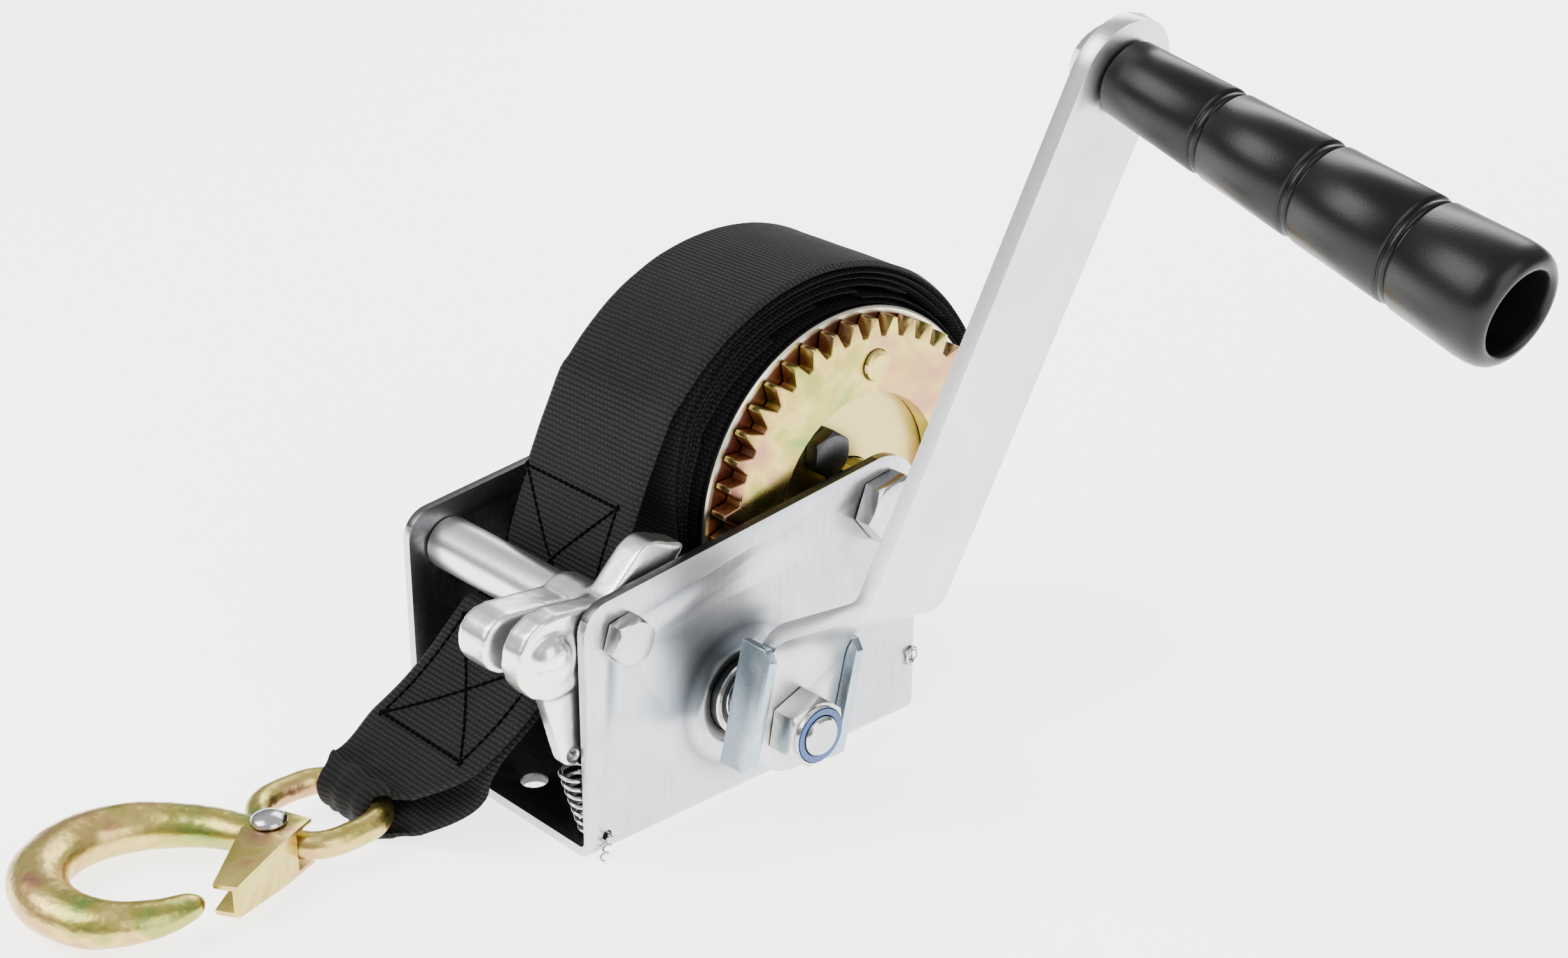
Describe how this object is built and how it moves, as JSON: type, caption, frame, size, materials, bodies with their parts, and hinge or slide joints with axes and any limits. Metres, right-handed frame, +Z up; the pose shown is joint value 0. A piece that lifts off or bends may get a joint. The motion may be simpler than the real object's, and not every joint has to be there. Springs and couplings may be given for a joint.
{
  "type": "boat trailer winch",
  "caption": "Hand winch: folded steel frame, geared strap drum, long cranked handle with a free-turning grip, two-way pawl, webbing strap and spring-latch hook.",
  "frame": {"origin": "the middle of the frame's underside, where it bolts down", "axes": "+Z up, -Y the side the strap leaves by, +X the crank's side; every shaft lies along X"},
  "size_m": [0.3142, 0.3107, 0.2411],
  "materials": {
    "zinc_plate": "bright zinc plate, satin",
    "bright_zinc": "bright zinc over rolled and cast steel",
    "yellow_zinc": "yellow passivated zinc with a pink and green sheen",
    "dark_steel": "dark oiled steel",
    "webbing": "ribbed woven polyester webbing",
    "grip_plastic": "satin moulded plastic",
    "nylon": "lock nut ring"
  },
  "bodies": {
    "frame": {"base_frame": "zinc_plate", "drum_axle_bolt": "zinc_plate", "drum_axle_nut": "zinc_plate", "pawl_bolt": "zinc_plate", "pawl_nut": "zinc_plate", "front_tube": "bright_zinc", "shaft_bearing_right": "zinc_plate", "shaft_bush_left": "dark_steel", "strap_tail": "webbing", "pawl_spring": "zinc_plate"},
    "drum": {"drum_barrel": "yellow_zinc", "drum_left_flange": "yellow_zinc", "drum_right_flange": "yellow_zinc", "drum_gear": "yellow_zinc", "drum_rivet_1": "yellow_zinc", "drum_rivet_2": "yellow_zinc", "drum_rivet_3": "yellow_zinc", "strap_anchor_bolt": "dark_steel", "strap_anchor_nut": "zinc_plate", "strap_coil": "webbing"},
    "crank": {"drive_shaft": "zinc_plate", "pinion_gear": "dark_steel", "shaft_collar": "zinc_plate", "yoke_spacer": "zinc_plate", "shaft_washer": "zinc_plate", "shaft_ring": "dark_steel", "drive_yoke": "zinc_plate", "crank_arm": "bright_zinc", "crank_nut": "zinc_plate", "crank_nut_insert": "nylon", "grip_bolt": "zinc_plate", "grip_bolt_nut": "zinc_plate"},
    "grip": {"grip_sleeve": "grip_plastic"},
    "pawl": {"pawl": "bright_zinc"},
    "hook": {"hook_body": "yellow_zinc", "hook_rivet": "zinc_plate"},
    "latch": {"hook_latch": "yellow_zinc"}
  },
  "joints": [
    {"name": "drum_spin", "type": "hinge", "parent": "frame", "child": "drum", "pos_m": [0, 0.0485, 0.0757], "axis": [1, 0, 0], "continuous": true},
    {"name": "crank_spin", "type": "hinge", "parent": "frame", "child": "crank", "pos_m": [0, -0.00703, 0.03309], "axis": [1, 0, 0], "continuous": true},
    {"name": "grip_spin", "type": "hinge", "parent": "crank", "child": "grip", "pos_m": [0.13285, 0.03913, 0.22538], "axis": [0.9732, -0.0537, -0.2237], "continuous": true},
    {"name": "pawl_pivot", "type": "hinge", "parent": "frame", "child": "pawl", "pos_m": [0, -0.0499, 0.0665], "axis": [1, 0, 0], "range_deg": [-14, 14], "deforming": ["pawl_spring"]},
    {"name": "hook_swing", "type": "hinge", "parent": "frame", "child": "hook", "pos_m": [-0.019, -0.0975, 0.009], "axis": [-1, 0, 0], "range_deg": [0, 60]},
    {"name": "latch_hinge", "type": "hinge", "parent": "hook", "child": "latch", "pos_m": [-0.014, -0.1315, 0.009], "axis": [0, 0, -1], "range_deg": [0, 26], "stiffness_Nm_per_rad": 0.05, "springref_deg": -20.05}
  ],
  "couplings": [
    {"joint": "crank_spin", "follows": "drum_spin", "ratio": -3}
  ]
}
